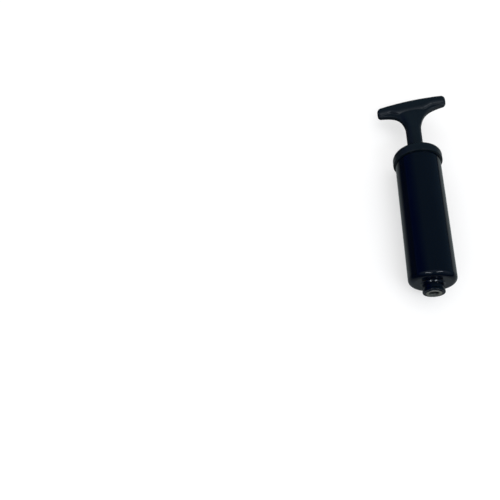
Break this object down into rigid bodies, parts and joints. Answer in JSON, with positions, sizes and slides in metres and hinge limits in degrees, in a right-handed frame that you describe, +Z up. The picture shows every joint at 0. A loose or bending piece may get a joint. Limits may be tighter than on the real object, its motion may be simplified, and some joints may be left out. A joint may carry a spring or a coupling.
{
  "type": "ball inflation pump",
  "caption": "Small single-acting hand pump for sports balls: slim barrel, T-handle on a steel rod, piston with a floating seal ring, nozzle with a threaded needle socket and a check valve.",
  "frame": {"origin": "middle of the pump's footprint, on the surface that it lies on", "axes": "+Y along the pump's axis towards the handle, +Z up from the surface, +X to the right seen from the nozzle"},
  "size_m": [0.0548, 0.1802, 0.0383],
  "materials": {
    "gloss_black": "glossy moulded ABS, near-black",
    "satin_black": "satin moulded plastic, near-black",
    "rubber": "matt black nitrile rubber",
    "white_nylon": "natural moulded nylon",
    "steel": "bright drawn steel",
    "nickel_plate": "nickel-plated brass, turned"
  },
  "bodies": {
    "pump_body": {"barrel": "gloss_black", "end_cap": "satin_black", "cap_gasket": "rubber", "rod_bush": "white_nylon", "stop_bumper": "rubber", "nozzle_body": "gloss_black", "nozzle_gasket": "rubber", "needle_socket": "nickel_plate", "needle_seal": "rubber", "valve_retainer": "white_nylon", "valve_seat": "rubber", "valve_spring": "steel"},
    "valve": {"valve_ball": "steel"},
    "plunger": {"piston_rod": "steel", "piston_front": "white_nylon", "piston_rear": "white_nylon", "piston_washer": "steel", "piston_screw": "steel"},
    "seal_ring": {"piston_ring": "rubber"},
    "handle": {"handle_grip": "satin_black", "handle_bush": "white_nylon"}
  },
  "joints": [
    {"name": "plunger_slide", "type": "slide", "parent": "pump_body", "child": "plunger", "axis": [0, 1, 0], "range_m": [0, 0.0815]},
    {"name": "handle_turn", "type": "hinge", "parent": "plunger", "child": "handle", "pos_m": [0, 0.0366, 0.01916], "axis": [0, 1, 0], "continuous": true},
    {"name": "ring_float", "type": "slide", "parent": "plunger", "child": "seal_ring", "axis": [0, -1, 0], "range_m": [0, 0.0012]},
    {"name": "valve_lift", "type": "slide", "parent": "pump_body", "child": "valve", "axis": [0, -1, 0], "range_m": [0, 0.0012], "stiffness_N_per_m": 80, "springref_m": -0.0025, "deforming": ["valve_spring"]}
  ]
}
